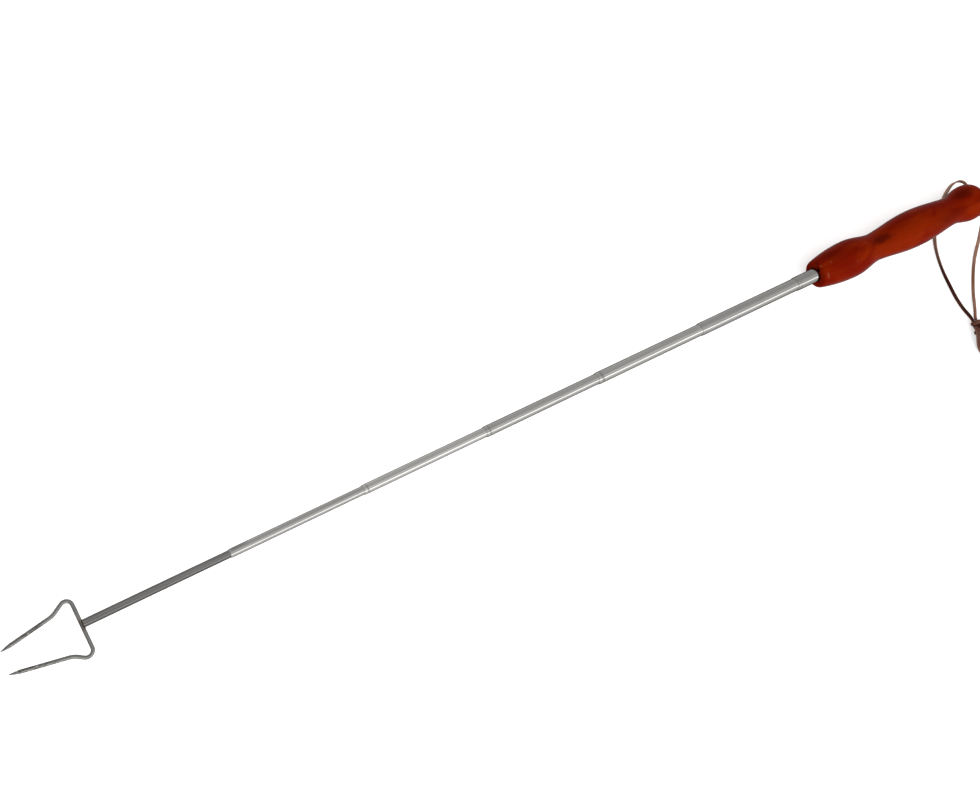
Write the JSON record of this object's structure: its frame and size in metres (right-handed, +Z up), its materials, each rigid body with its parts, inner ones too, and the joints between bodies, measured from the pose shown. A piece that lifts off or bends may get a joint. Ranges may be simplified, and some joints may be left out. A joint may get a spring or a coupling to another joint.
{
  "type": "telescopic roasting stick",
  "caption": "Telescopic roasting stick: a turned, lacquered wooden handle with a leather wrist lace, nested steel tubes that pull out, and a forked wire tip that holds food over a fire.",
  "frame": {"origin": "on the ground under the middle of the pulled-out stick, on the line of its tubes", "axes": "+X along the stick from the fork to the butt of the handle, +Y across it, +Z up; the fork lies flat"},
  "size_m": [0.8348, 0.1685, 0.0304],
  "materials": {
    "lacquered_wood": "red-brown stain under clear gloss lacquer",
    "tube_steel": "satin drawn stainless tube",
    "bush_brass": "plain",
    "fork_steel": "bright wire with a heat-darkened weld",
    "lace_leather": "flat brown lace, smooth on one face and suede on the other"
  },
  "bodies": {
    "handle": {"handle_grip": "lacquered_wood", "outer_tube": "tube_steel", "lanyard_front_strand": "lace_leather", "lanyard_rear_strand": "lace_leather", "lanyard_knot": "lace_leather", "lanyard_tail_left": "lace_leather", "lanyard_tail_right": "lace_leather"},
    "section_1": {"sliding_tube_1": "tube_steel", "stop_bush_1": "bush_brass"},
    "section_2": {"sliding_tube_2": "tube_steel", "stop_bush_2": "bush_brass"},
    "section_3": {"sliding_tube_3": "tube_steel", "stop_bush_3": "bush_brass"},
    "section_4": {"sliding_tube_4": "tube_steel", "stop_bush_4": "bush_brass"},
    "section_5": {"sliding_tube_5": "tube_steel", "stop_bush_5": "bush_brass"},
    "section_6": {"stop_bush_6": "bush_brass"},
    "fork": {"sliding_tube_6": "tube_steel", "fork_wire": "fork_steel", "fork_weld": "fork_steel"}
  },
  "joints": [
    {"name": "section_1_slide", "type": "slide", "parent": "handle", "child": "section_1", "axis": [1, 0, 0], "range_m": [0, 0.093]},
    {"name": "section_2_slide", "type": "slide", "parent": "section_1", "child": "section_2", "axis": [1, 0, 0], "range_m": [0, 0.093]},
    {"name": "section_3_slide", "type": "slide", "parent": "section_2", "child": "section_3", "axis": [1, 0, 0], "range_m": [0, 0.093]},
    {"name": "section_4_slide", "type": "slide", "parent": "section_3", "child": "section_4", "axis": [1, 0, 0], "range_m": [0, 0.093]},
    {"name": "section_5_slide", "type": "slide", "parent": "section_4", "child": "section_5", "axis": [1, 0, 0], "range_m": [0, 0.093]},
    {"name": "section_6_slide", "type": "slide", "parent": "section_5", "child": "section_6", "axis": [1, 0, 0], "range_m": [0, 0.093]},
    {"name": "fork_turn", "type": "hinge", "parent": "section_6", "child": "fork", "pos_m": [-0.3686, 0, 0.0152], "axis": [1, 0, 0], "continuous": true}
  ]
}
